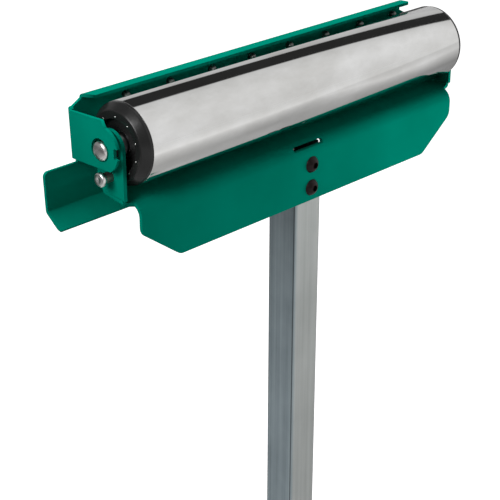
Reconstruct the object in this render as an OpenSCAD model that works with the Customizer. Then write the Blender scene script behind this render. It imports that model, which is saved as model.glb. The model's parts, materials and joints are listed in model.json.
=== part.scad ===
// Roller stand: a height-adjustable post carries a steel roller in a folded sheet bracket,
// and a ball rail behind the roller swings over it on the roller's own axle.
// Millimetres, +Z up. The origin is on the floor under the centre of the post.
// The roller runs along X, the front plate faces -Y and the ball rail is at the rear.

/* [Heights] */
// Height of the roller's axle above the floor
axle_h = 920; // [880:1:960]
// Height of the outer post's top above the floor
outer_top = 488; // [480:1:550]
// Length of the inner post
post_len = 560; // [520:1:570]

/* [Base] */
// Distance between the centres of the two foot tubes
track = 380; // [300:1:460]
// Length of each foot tube
foot_len = 440; // [360:1:560]
// Width and height of a foot tube, and height of the cross tube
foot_w = 30; // [28:1:36]
// Width of the cross tube
cross_w = 40; // [36:1:50]
// Wall of the foot tubes and the cross tube
base_wall = 2; // [1.5:0.1:3]
// Outer corner radius of the base tubes
base_corner = 3; // [2.5:0.1:4]
// Thickness of the cross tube's end plates
end_plate_t = 4; // [3:0.5:6]
// Length of the cross tube's end plates
end_plate_len = 96; // [88:1:120]
// Diameter of a rubber pad
pad_d = 26; // [20:1:28]
// Height of a rubber pad
pad_h = 8; // [6:0.5:12]

/* [Post] */
// Width of the square inner post
post_w = 31; // [28:0.5:31]
// Wall of the inner post
post_wall = 1.5; // [1.2:0.1:2]
// Outer corner radius of the inner post
post_corner = 3; // [3:0.1:4.5]
// Width of the square outer post
outer_w = 38; // [37:0.5:40]
// Wall of the outer post
outer_wall = 2; // [1.5:0.1:2.2]
// Height of the triangular gussets
gusset_h = 60; // [40:1:90]
// Foot of the triangular gussets along the cross tube
gusset_l = 55; // [40:1:80]

/* [Clamp] */
// Distance of the clamp screw below the outer post's top
clamp_drop = 25; // [15:1:28]
// Diameter of the clamp screw
stud_d = 10; // [8:0.5:12]
// Diameter over the lobes of the clamp knob
knob_d = 50; // [42:1:60]
// Thickness of the clamp knob
knob_t = 18; // [15:1:24]

/* [Roller] */
// Diameter of the roller
roller_d = 63.5; // [60:0.5:64]
// Length of the roller tube
roller_len = 360; // [320:1:400]
// Wall of the roller tube
roller_wall = 2; // [1.5:0.1:2.5]
// How far the end caps stand out of the roller tube
cap_proud = 8; // [7:0.1:8.2]
// Diameter of the axle
axle_d = 12; // [11:0.1:12]

/* [Head bracket] */
// Thickness of the sheet
sheet = 3; // [2.5:0.1:3.5]
// Clearance between an end cap and an ear
cap_clear = 3.4; // [3:0.1:6]
// Width of an ear, front to back
ear_w = 28.4; // [27:0.2:30]
// How far each end of the front plate stays back from the ear's outer face
plate_inset = 9.6; // [8:0.2:16]
// Depth of the front plate's lower edge below the axle
plate_drop = 91.4; // [90:0.2:100]
// Distance from the front plate's face back to the axle
plate_setback = 22; // [21:0.1:23]
// Width cut off each lower corner of the front plate
chamfer_w = 37.5; // [20:0.5:60]
// Height cut off each lower corner of the front plate
chamfer_h = 27.5; // [15:0.5:30]
// Slope of the bracket's floor, rising to the rear, in degrees
floor_slope = 10; // [8:0.5:12]
// Length of the slot above the screws
slot_len = 35; // [20:1:60]

/* [Ball rail] */
// Thickness of the rail's sheet
rail_sheet = 2.5; // [2:0.1:3]
// Gap between an ear and a tab
tab_gap = 4.6; // [4:0.1:6]
// How far the lip's left end stays back from the tab's outer face
lip_back_left = 13; // [5:0.5:20]
// How far the lip's right end stays back from the tab's outer face
lip_back_right = 22; // [20:0.5:30]
// How far each end of the ramp reaches beyond the tab
ramp_over = 26; // [10:1:40]
// Distance from the axle to the rail's outer face
wall_out = 37; // [36.8:0.1:40]
// Height of the rail's top above the axle
lip_top = 32.8; // [32:0.1:36]
// Depth of the lip
lip_w = 14; // [9:0.1:18]
// Length of the sloping ramp flange
ramp_w = 17; // [12:0.5:20]
// How far the rail leans back at rest, in degrees
rail_lean = 2.5; // [0:0.1:3]

/* [Ball units] */
// Diameter of a ball
ball_d = 16; // [14:0.1:17]
// Distance between a unit's two rivets
rivet_gap = 45; // [40:0.5:46]

/* [Hidden] */
$fn = 48;
// Clearances and cuts: overrun of a cut, seat within one body, running fit, gap between bodies
over = 1;
seat = 0.05;
run = 0.05;
gap = 0.3;

// Base
foot_h = foot_w;
base_top = pad_h + foot_h;
bolt_d = 8;
bolt_hole = 8.4;
bolt_spread = 66;
hex_w = 14.6;
head_t = 5.3;
nut_t = 6.5;
washer_d = 16;
washer_t = 1.6;
bolt_tail = 2.5;
plate_corner = 4;
cap_t = 4;
cap_insert = 16;
cap_insert_wall = 2;
pad_inset = 22;
pad_edge = 1.5;
stem_d = 8;
stem_bulb = 10.4;
stem_tip = 6;
stem_h = 5;
gusset_t = 4;
gusset_nose = 8;
clamp_z = outer_top - clamp_drop;
outer_corner = 4;
outer_in = outer_w - 2 * outer_wall;

// Collar and glide shoe of the telescoping post
collar_flange = 4;
collar_lip = 2;
collar_depth = 34;
slide_clear = 0.2;
shoe_t = 10;
shoe_plug = 20;
post_top_drop = 45;
post_nick = 4;
post_bottom = axle_h - post_top_drop - post_len;

// Clamp screw, pressure pad and knob
boss_d = 22;
boss_l = 14;
pressure_clear = 0.2;
pressure_d = stud_d - 2 * pressure_clear;
pressure_seat = 0.1;
pressure_l = 2.9;
knob_gap = 3;
knob_hub_d = 24;
knob_hub_l = 8;
knob_lobes = 5;
lobe_share = 0.36;
knob_bore_l = 14;

// Places of the head, measured from the axle
axle_y = plate_setback - sheet - post_w / 2;
screw_drop = [60.4, 80.4];
screw_d = 8;
screw_head_d = 14;
screw_head_t = 4.4;
screw_l = 14;
socket_w = 5.8;
socket_depth = 2.6;
nut_bar_t = 5;
nut_bar_w = 24;
nut_bar_l = 37;

// Roller, caps and bearings
cap_face = roller_len / 2 + cap_proud;
cap_straight = 0.4;
cap_round = cap_proud - cap_straight;
cap_rim_inset = 0.9;
cap_plug_l = 22;
cap_recess_d = 40;
cap_recess = 4;
cap_web = 2;
cap_hub_d = 20;
dot_count = 10;
dot_circle = 43.6;
dot_d = 1.4;
dot_l = 6;
dot_proud = 0.25;
bearing_od = 32;
bearing_w = 10;
bearing_in_d = 17.6;
bearing_out_d = 26.6;
bearing_ball_d = 5.9;
bearing_balls_n = 7;
bearing_play = 0.1;
shield_t = 0.5;
spacer_d = 18;
bearing_x = cap_face - cap_recess - cap_web;

// Axle ends and index pins
dome_d = 14.6;
dome_h = 3.4;
dome_crown = 2.8;
push_washer_d = 20;
push_washer_t = 1.5;
pin_d = 8;
pin_head_d = 10.8;
pin_head_h = 4;
pin_crown = 0.8;
pin_spigot_d = 6;
pin_peen_d = 9;
pin_peen_h = 1.2;

// Folded bracket
ear_in = cap_face + cap_clear;
ear_out = ear_in + sheet;
ear_bend = 1.5;
ear_foot_front = 12.4;
ear_foot_rear = 9;
bend_r = 12;
bend_drop = 51.8;
ear_foot_x = ear_in - ear_bend;
plate_w = 2 * (ear_out - plate_inset);
relief = 2;
plate_corner_r = 9;
floor_inset = 1.5;
floor_slant = 20;
slot_h = 3.6;
slot_shift = -2;
slot_drop = 44.2;
bend_y = -plate_setback + bend_r;
bend_z = -bend_drop;
floor_y = bend_y - bend_r * sin(floor_slope);
floor_z0 = bend_z + bend_r * cos(floor_slope);
wall_in = wall_out - rail_sheet;
floor_stop_drop = 38;
floor_rear = wall_in * cos(rail_lean) - floor_stop_drop * sin(rail_lean) - gap;

// Folded rail
rail_bend = 1.5;
rail_bend_out = rail_bend + rail_sheet;
tab_in = ear_out + tab_gap;
tab_out = tab_in + rail_sheet;
lip_left = tab_out - lip_back_left;
lip_right = tab_out - lip_back_right;
ramp_len = 2 * (tab_out + ramp_over);
tab_r = 17.2;
tab_r_right = 14.4;
tab_top_front = 22.9;
tab_top_rear = 23.4;
tab_top_y = -1.5;
tab_step_y = 4.2;
tab_top_right = 15.6;
tab_rise = 0.9;
tab_flare = 1.6;
flare_w = 2.5;
step_left = 6;
step_right = 8.4;
tab_x = tab_out - rail_bend_out - over;
tab_low_rear = 13;
tab_low_front = 14.6;
pivot_d = 17.5;
pivot_shift = pivot_d / 2 - axle_d / 2 - gap;
notch_clear = 0.1;
notch_w = pin_d + 2 * notch_clear;
notch_depth = 4.2;
notch_round = 1.5;
ramp_top = 17.4;
ramp_bend_drop = 46.6;
ramp_turn = 49;
ramp_corner = 4;
ramp_low = -ramp_bend_drop - rail_bend_out * sin(ramp_turn) - ramp_w * cos(ramp_turn);
lip_slant = 4;
lip_corner = 3;
pin_drop = tab_r + gap + pin_d / 2;

// Ball units
ball_count = 8;
ball_pitch = roller_len / ball_count;
flange_t = 1.5;
flange_d = 30;
flange_bar = 12;
cup_d = 27;
bed_d = 2.5;
bed_count = 8;
bed_angle = 45;
bed_play = 0.1;
cavity_r = ball_d / 2 + bed_d + 2 * bed_play;
cup_floor = 0.4;
cup_rim = 4;
ring_t = 2.5;
ball_y = wall_out + flange_t + cup_floor + cavity_r;
ball_shift = 10;
ball_first = ball_shift - ball_pitch * (ball_count - 1) / 2;
rivet_d = 5;
rivet_head_d = 9.5;
rivet_head_h = 1.4;
rivet_tail_d = 6;
rivet_tail_l = 5;

// Colours
green = [0.0, 0.45, 0.36];
zinc = [0.66, 0.68, 0.70];
chrome = [0.85, 0.85, 0.85];
black = [0.06, 0.06, 0.07];
steel = [0.72, 0.72, 0.74];
rubber = [0.10, 0.10, 0.10];

// Shared shapes

// Rectangle with round corners, centred
module rounded_rect(w, d, r) {
    square([w - 2 * r, d], center = true);
    square([w, d - 2 * r], center = true);
    for (x = [-1, 1]) {
        for (y = [-1, 1]) {
            translate([x * (w / 2 - r), y * (d / 2 - r)]) circle(r = r);
        }
    }
}

// Section of a rectangular tube, centred
module tube_section(w, d, wall, r) {
    difference() {
        rounded_rect(w, d, r);
        rounded_rect(w - 2 * wall, d - 2 * wall, r - wall);
    }
}

// Outline in the Y-Z plane, extruded along X from x0 to x1
module along_x(x0, x1) {
    translate([x0, 0, 0]) rotate([90, 0, 90]) linear_extrude(x1 - x0) children();
}

// Outline in the X-Z plane, extruded along Y from y0 to y1
module along_y(y0, y1) {
    translate([0, y1, 0]) rotate([90, 0, 0]) linear_extrude(y1 - y0) children();
}

// Cylinder along X from x0 to x1
module rod_x(d, x0, x1) {
    translate([x0, 0, 0]) rotate([0, 90, 0]) cylinder(d = d, h = x1 - x0);
}

// Cylinder along Y from y0 to y1
module rod_y(d, y0, y1) {
    translate([0, y0, 0]) rotate([-90, 0, 0]) cylinder(d = d, h = y1 - y0);
}

// Cap of a sphere with the base diameter and the height given, standing on z = 0
module dome(d, h) {
    r = (d * d / 4 + h * h) / (2 * h);
    intersection() {
        translate([0, 0, h - r]) sphere(r = r);
        cylinder(d = 2 * r, h = h);
    }
}

// Both ends: the children as drawn for +X, and mirrored for -X
module both_ends() {
    children();
    mirror([1, 0, 0]) children();
}

// Points of an arc about a centre, from angle a to angle b
function arc(c, r, a, b, n) = [for (i = [0 : n]) let (t = a + (b - a) * i / n) c + r * [cos(t), sin(t)]];

module at_axle() {
    translate([0, axle_y, axle_h]) children();
}

module at_rail() {
    at_axle() rotate([-rail_lean, 0, 0]) children();
}

// Base

module foot_tube(side) {
    color(green) translate([side * track / 2, 0, pad_h + foot_h / 2]) difference() {
        along_y(-foot_len / 2, foot_len / 2) tube_section(foot_w, foot_h, base_wall, base_corner);
        for (s = [-1, 1]) {
            translate([0, s * bolt_spread / 2, 0]) rod_x(bolt_hole, -foot_w / 2 - over, foot_w / 2 + over);
            translate([0, s * (foot_len / 2 - pad_inset), -foot_h / 2 - over])
                cylinder(d = stem_d + 2 * seat, h = base_wall + 2 * over);
        }
    }
}

module foot_end_caps() {
    insert_w = foot_w - 2 * base_wall - 2 * seat;
    color(black) for (side = [-1, 1]) {
        for (s = [0, 1]) {
            translate([side * track / 2, 0, pad_h + foot_h / 2]) mirror([0, s, 0])
                translate([0, foot_len / 2, 0]) difference() {
                    union() {
                        along_y(0, cap_t) rounded_rect(foot_w, foot_h, base_corner);
                        along_y(-cap_insert, 0) rounded_rect(insert_w, insert_w, base_corner - base_wall);
                    }
                    along_y(-cap_insert - over, 0)
                        square(insert_w - 2 * cap_insert_wall, center = true);
                }
        }
    }
}

module foot_pads() {
    color(rubber) for (side = [-1, 1]) {
        for (s = [-1, 1]) {
            translate([side * track / 2, s * (foot_len / 2 - pad_inset), 0]) {
                cylinder(d1 = pad_d - 2 * pad_edge, d2 = pad_d, h = pad_edge);
                translate([0, 0, pad_edge]) cylinder(d = pad_d, h = pad_h - pad_edge);
                translate([0, 0, pad_h]) cylinder(d = stem_d, h = base_wall);
                translate([0, 0, pad_h + base_wall]) cylinder(d1 = stem_bulb, d2 = stem_tip, h = stem_h);
            }
        }
    }
}

// Places the children at each foot bolt, +X pointing outwards and x = 0 on the tube's outer face
module at_foot_bolts() {
    both_ends() {
        for (s = [-1, 1]) {
            translate([track / 2 + foot_w / 2, s * bolt_spread / 2, pad_h + foot_h / 2]) children();
        }
    }
}

grip = foot_w + end_plate_t;

module foot_bolts() {
    color(zinc) at_foot_bolts() {
        rod_x(bolt_d, -grip - washer_t - nut_t - bolt_tail, washer_t);
        translate([washer_t, 0, 0]) rotate([0, 90, 0]) cylinder(d = hex_w, h = head_t, $fn = 6);
    }
}

module foot_washers() {
    color(zinc) at_foot_bolts() {
        for (x = [0, -grip - washer_t]) {
            difference() {
                rod_x(washer_d, x, x + washer_t);
                rod_x(bolt_d + 2 * seat, x - over, x + washer_t + over);
            }
        }
    }
}

module foot_nuts() {
    inner = -grip - washer_t;
    color(zinc) at_foot_bolts() difference() {
        translate([inner - nut_t, 0, 0]) rotate([0, 90, 0]) cylinder(d = hex_w, h = nut_t, $fn = 6);
        rod_x(bolt_d + 2 * seat, inner - nut_t - over, inner + over);
    }
}

cross_end = track / 2 - foot_w / 2 - end_plate_t;

module cross_tube() {
    color(green) translate([0, 0, pad_h + foot_h / 2])
        along_x(-cross_end, cross_end) tube_section(cross_w, foot_h, base_wall, base_corner);
}

module cross_end_plates() {
    color(green) both_ends() translate([0, 0, pad_h + foot_h / 2]) difference() {
        along_x(cross_end, cross_end + end_plate_t) rounded_rect(end_plate_len, foot_h, plate_corner);
        for (s = [-1, 1]) {
            translate([0, s * bolt_spread / 2, 0])
                rod_x(bolt_hole, cross_end - over, cross_end + end_plate_t + over);
        }
    }
}

module post_gussets() {
    x0 = outer_w / 2;
    color(green) both_ends() along_y(-gusset_t / 2, gusset_t / 2) polygon([
        [x0, base_top], [x0 + gusset_l, base_top], [x0 + gusset_l, base_top + gusset_nose],
        [x0 + gusset_nose, base_top + gusset_h], [x0, base_top + gusset_h]]);
}

module outer_post() {
    color(green) difference() {
        translate([0, 0, base_top]) linear_extrude(outer_top - base_top)
            tube_section(outer_w, outer_w, outer_wall, outer_corner);
        translate([0, 0, clamp_z]) rod_y(stud_d + 2 * gap, 0, outer_w);
    }
}

module post_collar() {
    bore = post_w + 2 * slide_clear;
    color(black) difference() {
        union() {
            translate([0, 0, outer_top]) linear_extrude(collar_flange)
                rounded_rect(outer_w + 2 * collar_lip, outer_w + 2 * collar_lip, outer_corner + collar_lip);
            translate([0, 0, outer_top - collar_depth]) linear_extrude(collar_depth)
                rounded_rect(outer_in - 2 * seat, outer_in - 2 * seat, outer_corner - outer_wall);
        }
        translate([0, 0, outer_top - collar_depth - over])
            linear_extrude(collar_depth + collar_flange + 2 * over)
            rounded_rect(bore, bore, post_corner);
        translate([0, 0, clamp_z]) rod_y(stud_d + 2 * gap, 0, outer_w);
    }
}

// Clamp

module clamp_boss() {
    color(zinc) translate([0, 0, clamp_z]) difference() {
        rod_y(boss_d, outer_w / 2, outer_w / 2 + boss_l);
        rod_y(stud_d + 2 * run, outer_w / 2 - over, outer_w / 2 + boss_l + over);
    }
}

pad_y0 = post_w / 2 + pressure_seat;
stud_y0 = pad_y0 + pressure_l + pressure_seat;
knob_y0 = outer_w / 2 + boss_l + knob_gap;

module clamp_pad() {
    color([0.75, 0.62, 0.30]) translate([0, 0, clamp_z]) rod_y(pressure_d, pad_y0, pad_y0 + pressure_l);
}

module clamp_stud() {
    color(zinc) translate([0, 0, clamp_z]) rod_y(stud_d, stud_y0, knob_y0 + knob_bore_l);
}

module clamp_knob() {
    lobe_d = knob_d * lobe_share;
    lobe_r = (knob_d - lobe_d) / 2;
    color(black) translate([0, knob_y0, clamp_z]) difference() {
        union() {
            rod_y(knob_hub_d, 0, knob_hub_l + over);
            along_y(knob_hub_l, knob_hub_l + knob_t) {
                circle(r = lobe_r, $fn = 96);
                for (i = [0 : knob_lobes - 1]) {
                    rotate(i * 360 / knob_lobes) translate([0, lobe_r]) circle(d = lobe_d);
                }
            }
        }
        rod_y(stud_d + 2 * seat, -over, knob_bore_l + seat);
    }
}

// Mast

module inner_post() {
    color(zinc) difference() {
        translate([0, 0, post_bottom]) linear_extrude(post_len)
            tube_section(post_w, post_w, post_wall, post_corner);
        for (drop = screw_drop) {
            translate([0, 0, axle_h - drop]) rod_y(screw_d + 2 * gap, -post_w, 0);
        }
        translate([-post_w, -post_w / 2 - over, axle_h - bend_drop])
            cube([2 * post_w, post_nick + over, bend_drop]);
    }
}

module glide_shoe() {
    plug = post_w - 2 * post_wall - 2 * seat;
    shoe = outer_in - 2 * gap;
    color(black) translate([0, 0, post_bottom]) {
        translate([0, 0, -shoe_t]) linear_extrude(shoe_t)
            rounded_rect(shoe, shoe, outer_corner - outer_wall);
        linear_extrude(shoe_plug) rounded_rect(plug, plug, post_corner - post_wall);
    }
}

module nut_bar() {
    front = -post_w / 2 + post_wall;
    middle = axle_h - (screw_drop[0] + screw_drop[1]) / 2;
    color(zinc) difference() {
        translate([-nut_bar_w / 2, front, middle - nut_bar_l / 2]) cube([nut_bar_w, nut_bar_t, nut_bar_l]);
        for (drop = screw_drop) {
            translate([0, 0, axle_h - drop])
                rod_y(screw_d + 2 * seat, front - over, front + nut_bar_t + over);
        }
    }
}

module head_screws() {
    front = -plate_setback;
    color(black) at_axle() for (drop = screw_drop) {
        translate([0, front, -drop]) {
            rod_y(screw_d, 0, screw_l);
            difference() {
                rotate([90, 0, 0]) dome(screw_head_d, screw_head_t);
                translate([0, socket_depth - screw_head_t, 0]) rotate([90, 0, 0])
                    cylinder(d = socket_w, h = screw_head_t, $fn = 6);
            }
        }
    }
}

// Section of the front plate, the soft bend and the sloping floor, in the Y-Z plane from the axle
module bracket_section() {
    floor_len = (floor_rear + over - floor_y) / cos(floor_slope);
    floor_end = [floor_y, floor_z0] + floor_len * [cos(floor_slope), sin(floor_slope)];
    polygon(concat(
        [[-plate_setback, -plate_drop - over]],
        arc([bend_y, bend_z], bend_r, 180, 90 + floor_slope, 12),
        [floor_end, floor_end + sheet * [sin(floor_slope), -cos(floor_slope)]],
        arc([bend_y, bend_z], bend_r - sheet, 90 + floor_slope, 180, 12),
        [[-plate_setback + sheet, -plate_drop - over]]));
}

// Right half of the bracket seen from the front, from the axle: the lower corners are cut and rounded
chamfer_turn = atan2(chamfer_h, chamfer_w);
low_corner = [plate_w / 2 - chamfer_w - plate_corner_r * tan(chamfer_turn / 2), plate_corner_r - plate_drop];
side_corner = [plate_w / 2 - plate_corner_r,
    -plate_drop + chamfer_h + plate_corner_r * tan((90 - chamfer_turn) / 2)];
function front_half() = concat(
    [[-over, -plate_drop]],
    arc(low_corner, plate_corner_r, -90, -90 + chamfer_turn, 5),
    arc(side_corner, plate_corner_r, -90 + chamfer_turn, 0, 5),
    [[plate_w / 2, -bend_drop], [ear_out, -bend_drop], [ear_out, 0], [-over, 0]]);

// Right half of the bracket seen from above, from the axle: plate, bend to the ear, clear rear part
function top_half() = [[-over, -plate_setback - over], [plate_w / 2, -plate_setback - over],
    [plate_w / 2, -ear_foot_front - relief], [ear_foot_x, -ear_foot_front], [ear_foot_x, ear_foot_rear],
    [ear_foot_x - floor_inset, ear_foot_rear + relief], [ear_foot_x - floor_slant, floor_rear],
    [-over, floor_rear]];

// Outline of an ear in the Y-Z plane, ending a little above its bend
module ear_outline() {
    function foot_at(y) = floor_z0 + (y - floor_y) * tan(floor_slope) + ear_bend + over;
    half = ear_w / 2;
    circle(d = ear_w, $fn = 96);
    polygon([[-half, 0], [-half, foot_at(-half)], [half, foot_at(half)], [half, 0]]);
}

// Bend between the floor and an ear, for +X, square to the sloping floor
module ear_foot() {
    c = [ear_foot_x, ear_bend];
    top = ear_bend + 2 * over;
    polygon(concat(
        [[ear_foot_x - over, 0]], arc(c, ear_bend, -90, 0, 6), [[ear_in, top], [ear_out, top]],
        arc(c, ear_bend + sheet, 0, -90, 6), [[ear_foot_x - over, -sheet]]));
}

// One ear with its bend into the floor, for +X
module ear() {
    difference() {
        along_x(ear_in, ear_out) ear_outline();
        rod_x(axle_d + 4 * run, ear_in - over, ear_out + over);
    }
    intersection() {
        translate([0, floor_y, floor_z0]) rotate([floor_slope, 0, 0]) along_y(-ear_w, ear_w) ear_foot();
        translate([0, -ear_foot_front, -plate_drop])
            cube([2 * ear_out, ear_foot_front + ear_foot_rear, plate_drop]);
    }
}

module head_bracket() {
    color(green) at_axle() difference() {
        union() {
            intersection() {
                along_x(-ear_out, ear_out) bracket_section();
                along_y(-plate_setback - over, floor_rear + over) {
                    polygon(front_half());
                    mirror([1, 0]) polygon(front_half());
                }
                translate([0, 0, -plate_drop - over]) linear_extrude(plate_drop + over) {
                    polygon(top_half());
                    mirror([1, 0]) polygon(top_half());
                }
            }
            both_ends() ear();
        }
        along_y(-plate_setback - over, bend_y) translate([slot_shift, -slot_drop])
            rounded_rect(slot_len, slot_h, slot_h / 2 - seat);
        for (drop = screw_drop) {
            translate([0, 0, -drop]) rod_y(bolt_hole, -plate_setback - over, -plate_setback + sheet + over);
        }
        translate([0, 0, -pin_drop]) rod_x(pin_spigot_d + 2 * seat, -ear_out - over, -ear_in + over);
    }
}

module index_pin() {
    color(steel) at_axle() translate([0, 0, -pin_drop]) mirror([1, 0, 0]) {
        rod_x(pin_d, ear_out, tab_out + gap);
        translate([tab_out + gap, 0, 0]) rotate([0, 90, 0]) dome_button(pin_head_d, pin_head_h, pin_crown);
        rod_x(pin_spigot_d, ear_in, ear_out);
        rod_x(pin_peen_d, ear_in - pin_peen_h, ear_in);
    }
}

// Flat-sided button with a dome of the crown's height on top, standing on z = 0
module dome_button(d, h, crown) {
    cylinder(d = d, h = h - crown);
    translate([0, 0, h - crown]) dome(d, crown);
}

// Axle and bearings

module axle() {
    color(steel) at_axle() both_ends() {
        rod_x(axle_d, 0, tab_out + gap);
        translate([tab_out + gap, 0, 0]) rotate([0, 90, 0]) dome_button(dome_d, dome_h, dome_crown);
    }
}

module axle_ring(d, x0, x1) {
    difference() {
        rod_x(d, x0, x1);
        rod_x(axle_d + 2 * seat, x0 - over, x1 + over);
    }
}

module axle_spacers() {
    color(zinc) at_axle() both_ends() axle_ring(spacer_d, bearing_x, ear_in);
}

module push_washers() {
    color(black) at_axle() both_ends() axle_ring(push_washer_d, ear_out, ear_out + push_washer_t);
}

// Ring groove for the bearing balls, about the X axis
module ball_groove(play) {
    r = (bearing_in_d + bearing_out_d) / 4;
    rotate([0, 90, 0]) rotate_extrude($fn = 64) translate([r, 0])
        circle(d = bearing_ball_d + 2 * play, $fn = 32);
}

module bearing_inner_rings() {
    color(steel) at_axle() both_ends() difference() {
        axle_ring(bearing_in_d, bearing_x - bearing_w, bearing_x);
        translate([bearing_x - bearing_w / 2, 0, 0]) ball_groove(2 * bearing_play);
    }
}

module bearing_outer_rings() {
    color(steel) at_axle() both_ends() difference() {
        rod_x(bearing_od, bearing_x - bearing_w, bearing_x);
        rod_x(bearing_out_d, bearing_x - bearing_w - over, bearing_x + over);
        translate([bearing_x - bearing_w / 2, 0, 0]) ball_groove(bearing_play);
    }
}

module bearing_balls() {
    color(steel) at_axle() both_ends() for (i = [0 : bearing_balls_n - 1]) {
        rotate([i * 360 / bearing_balls_n, 0, 0])
            translate([bearing_x - bearing_w / 2, 0, (bearing_in_d + bearing_out_d) / 4])
            sphere(d = bearing_ball_d, $fn = 32);
    }
}

module bearing_shields() {
    color(steel) at_axle() both_ends() for (x = [bearing_x - shield_t, bearing_x - bearing_w]) {
        difference() {
            rod_x(bearing_out_d - 2 * seat, x, x + shield_t);
            rod_x(bearing_in_d + 2 * gap, x - over, x + shield_t + over);
        }
    }
}

// Roller

module roller_tube() {
    color(chrome) at_axle() difference() {
        rod_x(roller_d, -roller_len / 2, roller_len / 2, $fn = 128);
        rod_x(roller_d - 2 * roller_wall, -roller_len / 2 - over, roller_len / 2 + over, $fn = 128);
    }
}

// Half section of an end cap, radius along x and the roller's axis along y
module cap_section() {
    rim = roller_d / 2 - cap_rim_inset;
    plug = roller_d / 2 - roller_wall - seat;
    tube_end = roller_len / 2;
    pocket = bearing_od / 2 + seat;
    low = tube_end - cap_plug_l - over;
    difference() {
        union() {
            polygon(concat(
                [[0, tube_end], [rim, tube_end]],
                arc([rim - cap_round, cap_face - cap_round], cap_round, 0, 90, 12),
                [[0, cap_face]]));
            translate([0, tube_end - cap_plug_l]) square([plug, cap_plug_l]);
        }
        translate([-over, low]) square([cap_hub_d / 2 + over, cap_face + over - low]);
        translate([0, cap_face - cap_recess]) square([cap_recess_d / 2, cap_recess + over]);
        translate([0, low]) square([pocket, bearing_x - low]);
    }
}

// One end cap for +X, with its ring of pin holes
module end_cap() {
    color(black) difference() {
        rotate([0, 90, 0]) rotate_extrude($fn = 128) cap_section();
        at_dots() rod_x(dot_d + 2 * seat, cap_face - dot_l, cap_face + over);
    }
}

module at_dots() {
    for (i = [0 : dot_count - 1]) {
        rotate([i * 360 / dot_count, 0, 0]) translate([0, 0, dot_circle / 2]) children();
    }
}

module end_cap_right() {
    at_axle() end_cap();
}

module end_cap_left() {
    at_axle() mirror([1, 0, 0]) end_cap();
}

module cap_pins() {
    color(steel) at_axle() both_ends() at_dots() {
        rod_x(dot_d, cap_face - dot_l, cap_face);
        translate([cap_face, 0, 0]) rotate([0, 90, 0]) dome(dot_d, dot_proud);
    }
}

// Rail

// Section of the lip, the wall and the ramp in the Y-Z plane, as one outline
module rail_section() {
    y0 = wall_out - rail_bend_out;
    upper = [y0, lip_top - rail_bend_out];
    lower = [y0, -ramp_bend_drop];
    along = [-sin(ramp_turn), -cos(ramp_turn)];
    out = [cos(ramp_turn), -sin(ramp_turn)];
    polygon(concat(
        [[wall_out - lip_w, lip_top]], arc(upper, rail_bend_out, 90, 0, 6),
        arc(lower, rail_bend_out, 0, -ramp_turn, 5), [lower + rail_bend_out * out + ramp_w * along],
        [lower + rail_bend * out + ramp_w * along], arc(lower, rail_bend, -ramp_turn, 0, 5),
        arc(upper, rail_bend, 0, 90, 6), [[wall_out - lip_w, lip_top - rail_sheet]]));
}

// Lower part of the rail seen from the front, right half
function rail_low() = concat(
    arc([ramp_len / 2 - ramp_corner, -ramp_top - ramp_corner], ramp_corner, 90, 0, 6),
    arc([ramp_len / 2 - ramp_corner, ramp_low + ramp_corner - over], ramp_corner, 0, -90, 6),
    [[-over, ramp_low - over]]);

// Rail seen from the front: the lip ends square, and the wall steps down to a tab at either side
module rail_front() {
    polygon(concat(
        [[-over, lip_top + over], [lip_right, lip_top + over], [lip_right, tab_top_right + step_right],
            [tab_x, tab_top_right], [tab_x, -ramp_top]],
        rail_low()));
    mirror([1, 0]) polygon(concat(
        [[-over, lip_top + over], [lip_left, lip_top + over], [lip_left, tab_top_rear + step_left],
            [tab_x, tab_top_rear + tab_flare], [tab_x, -ramp_top]],
        rail_low()));
}

// Waste at the lip's two front corners, seen from above: a slant at the left, a small round at the right
module lip_cuts() {
    front = wall_out - lip_w;
    back = wall_out - rail_bend_out;
    translate([0, 0, lip_top - rail_bend_out]) linear_extrude(rail_bend_out + over) {
        polygon([[-lip_left - over, front - over], [-lip_left + lip_slant, front - over],
            [-lip_left + lip_slant, front], [-lip_left, back], [-lip_left - over, back]]);
        polygon(concat(
            [[lip_right + over, front - over], [lip_right - lip_corner, front - over]],
            arc([lip_right - lip_corner, front + lip_corner], lip_corner, -90, 0, 6),
            [[lip_right + over, front + lip_corner]]));
    }
}

// Outline of the left tab in the Y-Z plane
module tab_outline_left() {
    step_angle = asin(tab_step_y / tab_r);
    low_angle = asin((tab_low_front + tab_rise) / tab_r);
    polygon(concat(
        [[wall_out, -tab_low_rear], [wall_out, tab_top_rear + tab_flare],
            [wall_out - flare_w, tab_top_rear], [tab_top_y, tab_top_front]],
        arc([0, tab_rise], tab_r, 90 + step_angle, 180 + low_angle, 24)));
}

// Outline of the right tab in the Y-Z plane, plain and smaller
module tab_outline_right() {
    polygon(concat(
        [[wall_out, -tab_low_rear], [wall_out, tab_top_right], [tab_r_right / 2, tab_top_right]],
        arc([0, 0], tab_r_right, 90, 270, 24)));
}

// Corner between the wall and a tab, seen from above, for +X
module tab_corner(x0) {
    c = [tab_out - rail_bend_out, wall_out - rail_bend_out];
    polygon(concat(
        [[x0, wall_out]], arc(c, rail_bend_out, 90, 0, 6), [[tab_out, -2 * tab_r], [tab_in, -2 * tab_r]],
        arc(c, rail_bend, 0, 90, 6), [[x0, wall_in]]));
}

// One tab for +X with its bend into the wall and its pivot hole
module tab() {
    difference() {
        intersection() {
            along_x(tab_x - over, tab_out + over) children();
            translate([0, 0, -2 * tab_r]) linear_extrude(4 * tab_r) tab_corner(tab_x - over);
        }
        translate([0, pivot_shift, 0]) rod_x(pivot_d, tab_in - over, tab_out + over);
    }
}

module at_balls() {
    for (i = [0 : ball_count - 1]) {
        translate([ball_first + i * ball_pitch, 0, 0]) children();
    }
}

module at_rivets() {
    at_balls() {
        for (s = [-1, 1]) {
            translate([0, 0, s * rivet_gap / 2]) children();
        }
    }
}

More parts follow.
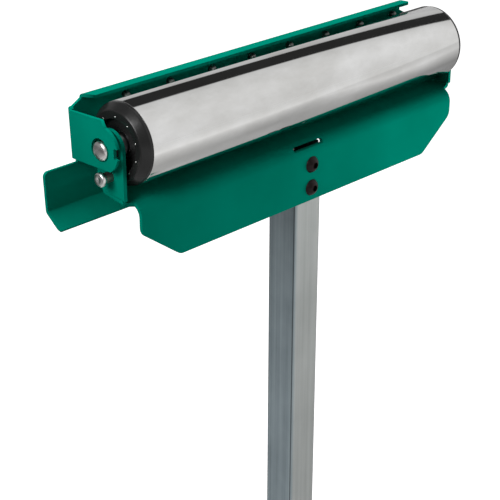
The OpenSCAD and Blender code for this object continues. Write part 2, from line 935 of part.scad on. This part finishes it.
module ball_rail() {
    color(green) at_rail() difference() {
        union() {
            intersection() {
                along_x(-ramp_len / 2, ramp_len / 2) rail_section();
                along_y(0, wall_out + over) rail_front();
            }
            tab() tab_outline_right();
            mirror([1, 0, 0]) tab() tab_outline_left();
        }
        along_x(-tab_out - over, -tab_in + over) translate([notch_depth - 3 / 2 * tab_r, 0])
            rounded_rect(tab_r, notch_w, notch_round);
        lip_cuts();
        at_rivets() rod_y(rivet_d + 2 * seat, wall_in - over, wall_out + over);
    }
}

module rail_rivets() {
    color(zinc) at_rail() at_rivets() {
        rod_y(rivet_d, wall_in, wall_out + flange_t);
        translate([0, wall_out + flange_t, 0]) rotate([-90, 0, 0]) dome(rivet_head_d, rivet_head_h);
        rod_y(rivet_tail_d, wall_in - rivet_tail_l / 2, wall_in);
        translate([0, wall_in - rivet_tail_l / 2, 0]) rotate([90, 0, 0])
            dome(rivet_tail_d, rivet_tail_l / 2);
    }
}

module ball_cups() {
    color(zinc) at_rail() at_balls() difference() {
        union() {
            rod_y(flange_d, wall_out, wall_out + flange_t);
            along_y(wall_out, wall_out + flange_t)
                rounded_rect(flange_bar, rivet_gap + flange_bar, flange_bar / 2 - seat);
            rod_y(cup_d, wall_out + flange_t, ball_y + cup_rim);
        }
        translate([0, ball_y, 0]) sphere(r = cavity_r, $fn = 64);
        rod_y(2 * cavity_r, ball_y, ball_y + cup_rim + over);
        for (s = [-1, 1]) {
            translate([0, 0, s * rivet_gap / 2])
                rod_y(rivet_d + 2 * seat, wall_out - over, wall_out + flange_t + over);
        }
    }
}

module ball_retainers() {
    r = ball_d / 2;
    low = cup_rim - ring_t;
    bore_low = sqrt(r * r - low * low) + gap;
    bore_top = sqrt(r * r - cup_rim * cup_rim) + gap;
    slope = (bore_low - bore_top) / ring_t;
    color(steel) at_rail() at_balls() translate([0, ball_y + low, 0]) rotate([-90, 0, 0]) difference() {
        cylinder(r = cavity_r - seat, h = ring_t);
        translate([0, 0, -over])
            cylinder(r1 = bore_low + slope * over, r2 = bore_top - slope * over, h = ring_t + 2 * over);
    }
}

module support_balls() {
    r = ball_d / 2 + bed_d / 2 + bed_play;
    color(steel) at_rail() at_balls() for (i = [0 : bed_count - 1]) {
        translate([0, ball_y, 0]) rotate([0, i * 360 / bed_count, 0])
            translate([r * cos(bed_angle), -r * sin(bed_angle), 0]) sphere(d = bed_d, $fn = 24);
    }
}

module ball(i) {
    color(chrome) at_rail() translate([ball_first + (i - 1) * ball_pitch, ball_y, 0])
        rotate([0, 90, 0]) sphere(d = ball_d, $fn = 64);
}

foot_tube(-1);  // foot_tube_left
foot_tube(1);  // foot_tube_right
foot_end_caps();
foot_pads();
foot_bolts();
foot_washers();
foot_nuts();
cross_tube();
cross_end_plates();
post_gussets();
outer_post();
post_collar();
clamp_boss();
clamp_pad();
clamp_stud();
clamp_knob();
inner_post();
glide_shoe();
nut_bar();
head_screws();
head_bracket();
index_pin();
axle();
axle_spacers();
push_washers();
bearing_inner_rings();
bearing_outer_rings();
bearing_balls();
bearing_shields();
roller_tube();
end_cap_left();
end_cap_right();
cap_pins();
ball_rail();
rail_rivets();
ball_cups();
ball_retainers();
support_balls();
ball(1);  // ball_1
ball(2);  // ball_2
ball(3);  // ball_3
ball(4);  // ball_4
ball(5);  // ball_5
ball(6);  // ball_6
ball(7);  // ball_7
ball(8);  // ball_8
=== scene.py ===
import json
import math
import bpy
import bmesh
from mathutils import Matrix, Vector


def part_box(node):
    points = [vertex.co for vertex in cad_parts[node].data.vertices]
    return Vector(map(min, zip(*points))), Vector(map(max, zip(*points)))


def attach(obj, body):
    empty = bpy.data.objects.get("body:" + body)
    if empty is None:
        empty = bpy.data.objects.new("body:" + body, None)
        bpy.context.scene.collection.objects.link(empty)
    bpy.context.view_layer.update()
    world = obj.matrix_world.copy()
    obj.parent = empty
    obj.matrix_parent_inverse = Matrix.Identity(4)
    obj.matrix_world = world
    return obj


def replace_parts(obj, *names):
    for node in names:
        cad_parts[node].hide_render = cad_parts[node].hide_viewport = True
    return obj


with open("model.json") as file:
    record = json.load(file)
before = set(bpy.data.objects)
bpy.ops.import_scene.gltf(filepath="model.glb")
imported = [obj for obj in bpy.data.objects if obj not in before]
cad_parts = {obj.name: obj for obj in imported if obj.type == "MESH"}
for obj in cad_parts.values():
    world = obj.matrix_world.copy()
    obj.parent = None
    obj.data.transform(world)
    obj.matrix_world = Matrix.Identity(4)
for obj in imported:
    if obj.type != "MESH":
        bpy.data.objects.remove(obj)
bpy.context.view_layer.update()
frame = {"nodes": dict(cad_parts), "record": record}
nodes = frame["nodes"]

# Turned pieces and rounded edges are given in millimetres, everything else in metres
MM = 0.001
BODY_OF = {node: body for body, members in frame["record"]["behaviour"]["bodies"].items() for node in members}
SLOT_OF = {part["node"]: part["material_slot"] for part in frame["record"]["subparts"]}

# The axle's middle, and the tube's radius and half length, taken from the roller tube
tube_low, tube_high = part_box("roller_tube")
AXLE = (tube_low + tube_high) / 2
TUBE_R = (tube_high.z - tube_low.z) / 2 / MM
TUBE_END = tube_high.x / MM


# Node helpers: they take sockets or plain values, and return output sockets

def colour(value):
    """A grey is given as one number, a colour as three"""
    return value if isinstance(value, tuple) else (value, value, value)


class Tree:
    def __init__(self, tree):
        self.tree = tree

    def put(self, value, socket):
        if isinstance(value, bpy.types.NodeSocket):
            self.tree.links.new(value, socket)
        else:
            socket.default_value = value

    def node(self, kind, inputs=None, **settings):
        node = self.tree.nodes.new(kind)
        for name, value in settings.items():
            setattr(node, name, value)
        for key, value in (inputs or {}).items():
            self.put(value, node.inputs[key])
        return node

    def coords(self, stretch=(1, 1, 1)):
        place = self.node("ShaderNodeTexCoord").outputs["Object"]
        return self.node("ShaderNodeMapping", {"Vector": place, "Scale": stretch}).outputs["Vector"]

    def noise(self, coords, scale, detail, rough=0.5):
        inputs = {"Vector": coords, "Scale": scale, "Detail": detail, "Roughness": rough}
        return self.node("ShaderNodeTexNoise", inputs).outputs["Fac"]

    def ramp(self, source, *stops):
        node = self.node("ShaderNodeValToRGB", {"Fac": source})
        elements = node.color_ramp.elements
        while len(elements) < len(stops):
            elements.new(0.5)
        for element, (position, value) in zip(elements, stops):
            element.position = position
            element.color = (*colour(value), 1)
        return node.outputs["Color"]

    def remap(self, source, low, high, to_low, to_high):
        inputs = {"Value": source, "From Min": low, "From Max": high, "To Min": to_low, "To Max": to_high}
        return self.node("ShaderNodeMapRange", inputs, clamp=True).outputs["Result"]

    def math(self, operation, *values, clamp=False):
        node = self.node("ShaderNodeMath", dict(enumerate(values)), operation=operation, use_clamp=clamp)
        return node.outputs[0]

    def mix_value(self, share, a, b):
        return self.node("ShaderNodeMix", {0: share, 2: a, 3: b}, data_type="FLOAT").outputs[0]

    def mix_colour(self, share, a, b, blend="MIX"):
        return self.node("ShaderNodeMix", {0: share, 6: a, 7: b}, data_type="RGBA", blend_type=blend).outputs[2]

    def mix_shader(self, share, a, b):
        return self.node("ShaderNodeMixShader", {0: share, 1: a, 2: b}).outputs[0]


class Surface(Tree):
    """A new material's tree, built round its Principled shader"""

    def __init__(self, name):
        self.mat = bpy.data.materials.new(name)
        self.mat.use_nodes = True
        super().__init__(self.mat.node_tree)
        self.shader = self.tree.nodes["Principled BSDF"]

    def set(self, inputs):
        for name, value in inputs.items():
            self.put(value, self.shader.inputs[name])

    def bump(self, height, strength, distance=0.0003):
        inputs = {"Height": height, "Strength": strength, "Distance": distance}
        self.set({"Normal": self.node("ShaderNodeBump", inputs).outputs["Normal"]})


# Materials

def green_paint():
    """Smooth powder coat, matt at every angle since its specular level is nought, with a green specular tint"""
    t = Surface("green_paint")
    at = t.coords()
    tone = t.noise(at, scale=14.0, detail=3.0)
    grain = t.noise(at, scale=60.0, detail=2.0)
    t.set({"Base Color": t.ramp(tone, (0.3, (0.0, 0.165, 0.112)), (0.7, (0.0, 0.205, 0.141))),
           "Roughness": t.ramp(grain, (0.2, 0.30), (0.8, 0.40)),
           "Specular IOR Level": 0.0, "Specular Tint": (0.06, 1.0, 0.80, 1)})
    t.bump(t.noise(at, scale=900.0, detail=2.0), strength=0.06, distance=0.0004)
    return t.mat


def chrome():
    """Polished plate with soft clouds, longer along the roller, and a slight waviness"""
    t = Surface("chrome")
    at = t.coords()
    cloud = t.noise(t.coords((14, 30, 30)), scale=1.0, detail=5.0, rough=0.6)
    haze = t.noise(at, scale=40.0, detail=6.0, rough=0.65)
    t.set({"Base Color": t.ramp(cloud, (0.32, (0.55, 0.545, 0.53)), (0.68, (0.70, 0.70, 0.695))),
           "Roughness": t.ramp(haze, (0.3, 0.04), (0.7, 0.09)), "Metallic": 1.0})
    t.bump(t.noise(at, scale=25.0, detail=2.0), strength=0.04, distance=0.0004)
    return t.mat


def plated(name, dark, light, rough_low, rough_high, grain, metallic=1.0, bump=0.1):
    """Bare or plated metal whose tone and roughness vary together over a grain per metre"""
    t = Surface(name)
    at = t.coords((grain, grain, grain))
    mottle = t.noise(at, scale=1.0, detail=6.0, rough=0.6)
    t.set({"Base Color": t.ramp(mottle, (0.3, dark), (0.7, light)),
           "Roughness": t.ramp(mottle, (0.25, rough_low), (0.75, rough_high)), "Metallic": metallic})
    t.bump(t.noise(at, scale=3.0, detail=3.0), strength=bump)
    return t.mat


def post_plate_painted_shade():
    """Zinc plate drawn along the post, with painted shade making the two side faces darker and bluer, and
    painted shade in a thin dark line along each rounded corner
    """
    t = Surface("post_zinc_painted_shade")
    streak = t.noise(t.coords((240, 240, 3)), scale=1.0, detail=5.0, rough=0.6)
    cloud = t.noise(t.coords((14, 14, 9)), scale=1.0, detail=4.0, rough=0.6)
    both = t.mix_value(0.5, streak, cloud)
    # A lit and a shaded copy of the zinc: painted shade makes the side faces darker and bluer than the front
    front = t.ramp(both, (0.36, (0.36, 0.38, 0.37)), (0.64, (0.50, 0.52, 0.51)))
    side = t.ramp(both, (0.36, (0.17, 0.21, 0.23)), (0.64, (0.33, 0.39, 0.42)))
    # How far a face looks along X: 0 in front, 1 on the sides, and between them on the rounded corners
    normal = t.node("ShaderNodeNewGeometry").outputs["Normal"]
    turn = t.math("ABSOLUTE", t.node("ShaderNodeSeparateXYZ", {0: normal}).outputs["X"])
    side_shade_share = t.ramp(turn, (0.0, 0.0), (0.84, 1.0), (1.0, 1.0))
    # Painted shade: a thin dark line where the normal turns between the front and a side
    corner = t.ramp(turn, (0.0, 1.0), (0.80, 1.0), (0.88, 0.30), (0.95, 0.30), (0.985, 1.0))
    t.set({"Base Color": t.mix_colour(1.0, t.mix_colour(side_shade_share, front, side), corner, "MULTIPLY"),
           "Roughness": t.ramp(both, (0.3, 0.30), (0.7, 0.48)), "Metallic": 0.8})
    t.bump(streak, strength=0.1)
    return t.mat


def plain(name, low, high, rough, specular, peel=600.0):
    """Moulded plastic, rubber or black oxide with a fine surface grain"""
    t = Surface(name)
    at = t.coords()
    tone = t.noise(at, scale=30.0, detail=3.0)
    t.set({"Base Color": t.ramp(tone, (0.3, low), (0.7, high)), "Roughness": rough,
           "Specular IOR Level": specular})
    t.bump(t.noise(at, scale=peel, detail=2.0), strength=0.08)
    return t.mat


GREEN = green_paint()
CHROME = chrome()
POST_ZINC_PAINTED_SHADE = post_plate_painted_shade()
ZINC = plated("zinc", (0.50, 0.51, 0.52), (0.68, 0.69, 0.70), 0.24, 0.40, grain=40)
# Painted shade: the rivet tails sit in the rail's shadowed trough, so their zinc is painted dark
ZINC_PAINTED_SHADE = plated("zinc_painted_shade", (0.13, 0.15, 0.14), (0.24, 0.26, 0.25), 0.35, 0.5, grain=60, metallic=0.9)
STEEL = plated("steel", (0.55, 0.53, 0.52), (0.78, 0.77, 0.76), 0.22, 0.38, grain=90)
DULL_STEEL = plated("dull_steel", (0.16, 0.12, 0.11), (0.30, 0.25, 0.23), 0.28, 0.42, grain=90, metallic=0.9)
BALL = plated("ball_steel", 0.74, 0.82, 0.06, 0.12, grain=30, bump=0.02)
BRASS = plated("brass", (0.62, 0.45, 0.16), (0.72, 0.55, 0.24), 0.28, 0.42, grain=60)
BLACK = plain("black_plastic", 0.010, 0.016, rough=0.26, specular=0.27)
SCREW = plain("black_screw", (0.010, 0.006, 0.006), (0.018, 0.009, 0.009), rough=0.30, specular=0.15,
              peel=1200.0)
RUBBER = plain("rubber", 0.010, 0.018, rough=0.75, specular=0.3, peel=400.0)

MATERIAL_OF_SLOT = {"green_paint": GREEN, "zinc": ZINC, "steel": STEEL, "chrome": CHROME, "ball_steel": BALL,
                    "black_screw": SCREW, "black_plastic": BLACK, "brass": BRASS, "rubber": RUBBER}
MATERIAL_OF_NODE = {"inner_post": POST_ZINC_PAINTED_SHADE, "rail_rivets": ZINC_PAINTED_SHADE}


def material_of(node):
    return MATERIAL_OF_NODE.get(node) or MATERIAL_OF_SLOT[SLOT_OF[node]]


# Every CAD node gets its material, with shading that is sharp only at its edges

NODE_SHARP = 30

for name, obj in nodes.items():
    obj.data.materials.clear()
    obj.data.materials.append(material_of(name))
    obj.data.set_sharp_from_angle(angle=math.radians(NODE_SHARP))


# New pieces

def new_piece(name, bm, mat, body, sharp):
    """An object of the mesh, riding on the body, with edges over sharp degrees left hard"""
    mesh = bpy.data.meshes.new(name)
    bm.to_mesh(mesh)
    bm.free()
    for face in mesh.polygons:
        face.use_smooth = True
    mesh.set_sharp_from_angle(angle=math.radians(sharp))
    mesh.materials.append(mat)
    obj = bpy.data.objects.new(name, mesh)
    bpy.context.scene.collection.objects.link(obj)
    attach(obj, body)
    return obj


def rounded(node, width, segments, limit):
    """A copy of a CAD node with its edges over limit degrees rounded, standing for the node"""
    # Points closer than seam are one, faces within flat degrees are one, and faces thinner than sliver go
    seam, flat, sliver = 1e-6, 0.4, 2e-5
    bm = bmesh.new()
    bm.from_mesh(nodes[node].data)
    bmesh.ops.remove_doubles(bm, verts=bm.verts, dist=seam)
    bmesh.ops.dissolve_limit(bm, angle_limit=math.radians(flat), verts=bm.verts, edges=bm.edges)
    edges = [e for e in bm.edges if len(e.link_faces) == 2 and e.calc_face_angle(0) > math.radians(limit)]
    bmesh.ops.bevel(bm, geom=edges, offset=width * MM, offset_type="OFFSET", segments=segments, profile=0.5,
                    affect="EDGES", clamp_overlap=True)
    bmesh.ops.dissolve_degenerate(bm, dist=sliver, edges=bm.edges)
    obj = new_piece(node + "_rounded", bm, material_of(node), BODY_OF[node], sharp=40)
    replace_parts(obj, node)
    weighted = obj.modifiers.new("normals", "WEIGHTED_NORMAL")
    weighted.keep_sharp = True
    weighted.mode = "FACE_AREA_WITH_ANGLE"


def turned(name, points, mat, body, slot, steps, sharp, mirror=False, drop=0.0):
    """A piece turned about an axis along X, which is the axle's or drop below it

    The points of its closed outline are (x, radius) from the axle's middle, and mirror turns it end for end."""
    side = -1 if mirror else 1
    bm = bmesh.new()
    rings = []
    for i in range(steps):
        a = 2 * math.pi * i / steps
        rings.append([bm.verts.new((AXLE.x + side * x * MM, AXLE.y + r * MM * math.cos(a),
                                    AXLE.z - drop * MM + r * MM * math.sin(a))) for x, r in points])
    for i in range(steps):
        ring, following = rings[i], rings[(i + 1) % steps]
        for k in range(len(points)):
            j = (k + 1) % len(points)
            bm.faces.new((ring[k], ring[j], following[j], following[k]))
    bmesh.ops.recalc_face_normals(bm, faces=bm.faces)
    return new_piece(name, bm, mat, body, sharp)


# Sheets, tubes and small hardware with broken edges: nodes, width of the round, segments, least angle

ROUNDS = [
    (("head_bracket",), 0.5, 4, 38),
    (("ball_rail",), 1.0, 4, 38),
    (("foot_tube_left", "foot_tube_right", "cross_tube", "outer_post", "inner_post"), 0.3, 2, 50),
    (("cross_end_plates", "post_gussets", "post_collar", "foot_end_caps"), 0.5, 3, 45),
    (("clamp_knob",), 0.8, 3, 45),
    (("clamp_boss", "clamp_stud"), 0.5, 3, 45),
    (("foot_bolts", "foot_washers", "foot_nuts", "push_washers"), 0.3, 2, 45),
]

for members, width, segments, limit in ROUNDS:
    for node in members:
        rounded(node, width, segments, limit)


# Roller tube with softly broken ends: each edge point is (in from the end, down from the outside)

def roller_shell():
    tube_wall = 2
    edge = ((0.35, 0.0), (0.1, 0.12), (0.0, 0.35), (0.0, tube_wall))
    right = [(TUBE_END - inwards, TUBE_R - down) for inwards, down in edge]
    left = [(-x, r) for x, r in reversed(right)]
    shell = turned("roller_shell", left + right, CHROME, "roller", "chrome", steps=192, sharp=35)
    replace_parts(shell, "roller_tube")


roller_shell()


# End caps with a conical shoulder, a flat ring for the pins, a sunk middle and a spigot in the tube

def arc(centre, radius, start, end, steps=6):
    """Points of an arc round (x, r), from start to end in radians from the radial direction towards +x"""
    turns = [start + (end - start) * i / steps for i in range(steps + 1)]
    return [(centre[0] + radius * math.sin(a), centre[1] + radius * math.cos(a)) for a in turns]


def shoulder(cone_start, cone_end, radius):
    """The cone's two rounded ends: from the rim to the cone, and from the cone to the face"""
    slope = math.atan2(cone_start[1] - cone_end[1], cone_end[0] - cone_start[0])
    rim_reach = radius * math.tan(slope / 2)
    face_reach = radius * math.tan((math.pi / 2 - slope) / 2)
    return (arc((cone_start[0] - rim_reach, cone_start[1] - radius), radius, 0, slope)
            + arc((cone_end[0] - radius, cone_end[1] - face_reach), radius, slope, math.pi / 2))


def cap_points():
    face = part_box("end_cap_right")[1].x / MM
    rim = TUBE_R - 0.4
    rim_l, cone_drop, cone_round = 2.4, 4.8, 2.2
    step, rim_edge = 1.2, 0.3
    spigot_l, spigot_in_r = 20, 18
    well_r, well_d, bore_r, web_d = 20.0, 4, 10.0, 8
    # Rounds of the well's mouth, of its floor and of the bore, each point as (depth, radius) from its corner
    mouth = [(face - d, well_r + r) for d, r in ((0.0, 0.6), (0.15, 0.2), (0.5, 0.0))]
    floor_round = [(face - well_d + d, well_r - r) for d, r in ((0.4, 0.0), (0.1, 0.2), (0.0, 0.6))]
    bore = [(face - well_d - d, bore_r + r) for d, r in ((0.0, 0.4), (0.3, 0.0))]
    spigot_end = TUBE_END - spigot_l
    seat = [(spigot_end, rim - step), (TUBE_END, rim - step), (TUBE_END, rim - rim_edge),
            (TUBE_END + rim_edge, rim)]
    cone = shoulder((TUBE_END + rim_l, rim), (face, rim - cone_drop), cone_round)
    inside = [(face - web_d, bore_r), (face - web_d, spigot_in_r), (spigot_end, spigot_in_r)]
    return seat + cone + mouth + floor_round + bore + inside


for side, mirror in (("left", True), ("right", False)):
    cap = turned("cap_" + side, cap_points(), BLACK, "roller", "black_plastic", steps=160, sharp=35,
                 mirror=mirror)
    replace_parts(cap, "end_cap_" + side)


# A point at the middle of a turned end keeps this small radius, so that no face closes up

CENTRE_R = 0.01


# Axle with a pan head at each end

def axle():
    shaft_r, head_r, head_h = 6, 7.3, 3.4
    under_edge, band, fullness, steps = 0.3, 0.7, 0.75, 18
    neck = (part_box("axle")[1].x - AXLE.x) / MM - head_h
    end = [(neck, shaft_r), (neck, head_r - under_edge), (neck + under_edge, head_r), (neck + band, head_r)]
    for i in range(1, steps + 1):
        a = math.pi / 2 * i / steps
        r = max(head_r * math.cos(a) ** fullness, CENTRE_R)
        end.append((neck + band + (head_h - band) * math.sin(a), r))
    points = [(-x, r) for x, r in reversed(end)] + end
    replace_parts(turned("axle_turned", points, STEEL, "mast", "steel", steps=96, sharp=50), "axle")


axle()


# Index pin with a flat, slightly dished head and a duller shank

def index_pin():
    low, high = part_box("index_pin")
    drop = (AXLE.z - (low.z + high.z) / 2) / MM
    end, inner = (AXLE.x - low.x) / MM, (AXLE.x - high.x) / MM
    head_h, head_r, neck_r, under_edge = 4, 5.4, 4, 0.3
    tail_r, tail_h, groove_r, groove_l = 4.4, 1.2, 3, 3
    neck = end - head_h
    groove_end = inner + tail_h + groove_l
    # The face's outline from its edge to the dish in its middle, each point as (depth, radius)
    crown = ((1.1, head_r), (0.55, 5.1), (0.25, 4.4), (0.1, 3.2), (0.1, 1.5), (0.35, 1.2), (0.35, CENTRE_R))
    head = [(neck, CENTRE_R), (neck, head_r - under_edge), (neck + under_edge, head_r)]
    head += [(end - d, r) for d, r in crown]
    shank = [(inner, CENTRE_R), (inner, tail_r), (inner + tail_h, tail_r), (inner + tail_h, groove_r),
             (groove_end, groove_r), (groove_end, neck_r), (neck, neck_r), (neck, CENTRE_R)]
    common = {"body": "mast", "slot": "steel", "steps": 72, "sharp": 50, "mirror": True, "drop": drop}
    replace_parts(turned("index_pin_head", head, STEEL, **common), "index_pin")
    turned("index_pin_shank", shank, DULL_STEEL, **common)


index_pin()


# Floor: pale, and white to the camera, a little less so near the stand, where its shadow falls

def floor_material():
    """Seen in metal, the floor glows as a painted reflection, bright far out in front and at the right, and
    dark below and behind
    """
    t = Surface("floor")
    t.tree.nodes.remove(t.shader)
    place = t.node("ShaderNodeNewGeometry").outputs["Position"]
    path = t.node("ShaderNodeLightPath").outputs
    axes = t.node("ShaderNodeSeparateXYZ", {0: place}).outputs
    in_front = t.remap(axes["Y"], -2.1, -0.6, 0.86, 0.0)
    at_right = t.remap(axes["X"], 0.8, 2.0, 0.0, 0.70)
    not_behind = t.remap(axes["Y"], -0.75, 0.10, 1.0, 0.0)
    painted_reflection_share = t.math("MAXIMUM", in_front, t.math("MULTIPLY", at_right, not_behind))
    # Painted reflection: this glow reaches glossy rays only
    painted_reflection_glow = t.math("MULTIPLY", painted_reflection_share, path["Is Glossy Ray"])
    seen = t.math("ADD", path["Is Camera Ray"], path["Is Transmission Ray"], clamp=True)
    distance = t.node("ShaderNodeVectorMath", {0: place}, operation="LENGTH").outputs["Value"]
    white = t.remap(distance, 0.5, 2.2, 0.72, 1.0)
    glow = t.node("ShaderNodeEmission", {"Strength": t.math("MULTIPLY_ADD", seen, white, painted_reflection_glow)}).outputs[0]
    pale = t.node("ShaderNodeBsdfDiffuse", {"Color": (0.70, 0.70, 0.70, 1)}).outputs[0]
    both = t.node("ShaderNodeAddShader", {0: pale, 1: glow}).outputs[0]
    t.put(both, t.tree.nodes["Material Output"].inputs["Surface"])
    return t.mat


def lay_floor():
    half_width = 14
    bm = bmesh.new()
    bmesh.ops.create_grid(bm, x_segments=1, y_segments=1, size=half_width)
    mesh = bpy.data.meshes.new("floor")
    bm.to_mesh(mesh)
    bm.free()
    mesh.materials.append(floor_material())
    floor = bpy.data.objects.new("floor", mesh)
    bpy.context.scene.collection.objects.link(floor)


lay_floor()


# World: white to the camera, dim as light, and in metal a painted reflection of a studio with one dark band
# high up at the rear and less light towards -X

def light_world():
    world = bpy.data.worlds.new("studio")
    bpy.context.scene.world = world
    world.use_nodes = True
    world.node_tree.nodes.clear()
    t = Tree(world.node_tree)
    path = t.node("ShaderNodeLightPath").outputs
    direction = t.node("ShaderNodeTexCoord").outputs["Generated"]
    axes = t.node("ShaderNodeSeparateXYZ", {0: direction}).outputs
    # The share of a turn round the X axis, 0 at the rear horizon, 0.25 overhead and 0.5 at the front horizon
    turn = t.math("ABSOLUTE", t.math("DIVIDE", t.math("ARCTAN2", axes["Z"], axes["Y"]), 2 * math.pi))
    painted_reflection_bands = t.ramp(turn, (0.0, 0.62), (0.094, 0.62), (0.098, 0.03), (0.205, 0.03), (0.212, 0.80), (0.27, 0.92),
                   (0.36, 1.0), (0.5, 0.95))
    # Painted reflection: glossy rays see the studio dimmer towards -X
    from_right = t.remap(axes["X"], -0.15, 0.25, 0.45, 1.0)
    painted_reflection_studio = t.node("ShaderNodeBackground", {"Color": painted_reflection_bands, "Strength": from_right}).outputs[0]
    dim = t.node("ShaderNodeBackground", {"Color": (1, 1, 1, 1), "Strength": 0.13}).outputs[0]
    white = t.node("ShaderNodeBackground", {"Color": (1, 1, 1, 1), "Strength": 1.0}).outputs[0]
    lit = t.mix_shader(path["Is Glossy Ray"], dim, painted_reflection_studio)
    shown = t.mix_shader(path["Is Camera Ray"], lit, white)
    t.node("ShaderNodeOutputWorld", {"Surface": shown})


light_world()


# Lamps, all turned to the axle's middle. Only the side lamp shows in the gloss of metal and plastic

def lamp(name, place, size, power, glossy=False):
    light = bpy.data.lights.new(name, "AREA")
    light.shape = "RECTANGLE"
    light.size, light.size_y = size
    light.energy = power
    obj = bpy.data.objects.new(name, light)
    obj.location = place
    obj.rotation_mode = "QUATERNION"
    obj.rotation_quaternion = (Vector(place) - AXLE).to_track_quat("Z", "Y")
    obj.visible_glossy = glossy
    obj.visible_camera = False
    bpy.context.scene.collection.objects.link(obj)


lamp("key", place=(0.53, -0.38, 0.69), size=(0.4, 0.4), power=4.8)
lamp("side", place=(-1.6, -0.08, 1.9), size=(0.9, 0.9), power=29, glossy=True)
lamp("top", place=(0.1, 0.45, 2.8), size=(1.6, 0.8), power=40)


# Camera at the photograph's angle, solved from the roller's ends, the rail, the bracket and the post

def place_camera():
    from_axle = Vector((-0.806, -0.728, 0.355))
    yaw, pitch, roll = (math.radians(v) for v in (46.10, -24.68, 0.13))
    focal_px, frame_px, sensor = 1414.0, 500, 36
    camera = bpy.data.cameras.new("camera")
    camera.sensor_width = sensor
    camera.lens = focal_px / frame_px * sensor
    camera.clip_start, camera.clip_end = 0.05, 60
    ahead = Vector((math.sin(yaw) * math.cos(pitch), math.cos(yaw) * math.cos(pitch), math.sin(pitch)))
    level_right = Vector((math.cos(yaw), -math.sin(yaw), 0))
    level_up = level_right.cross(ahead)
    right = level_right * math.cos(roll) + level_up * math.sin(roll)
    up = level_up * math.cos(roll) - level_right * math.sin(roll)
    obj = bpy.data.objects.new("camera", camera)
    bpy.context.scene.collection.objects.link(obj)
    obj.matrix_world = Matrix.Translation(AXLE + from_axle) @ Matrix((right, up, -ahead)).transposed().to_4x4()
    bpy.context.scene.camera = obj


place_camera()
bpy.context.scene.view_settings.view_transform = "Standard"
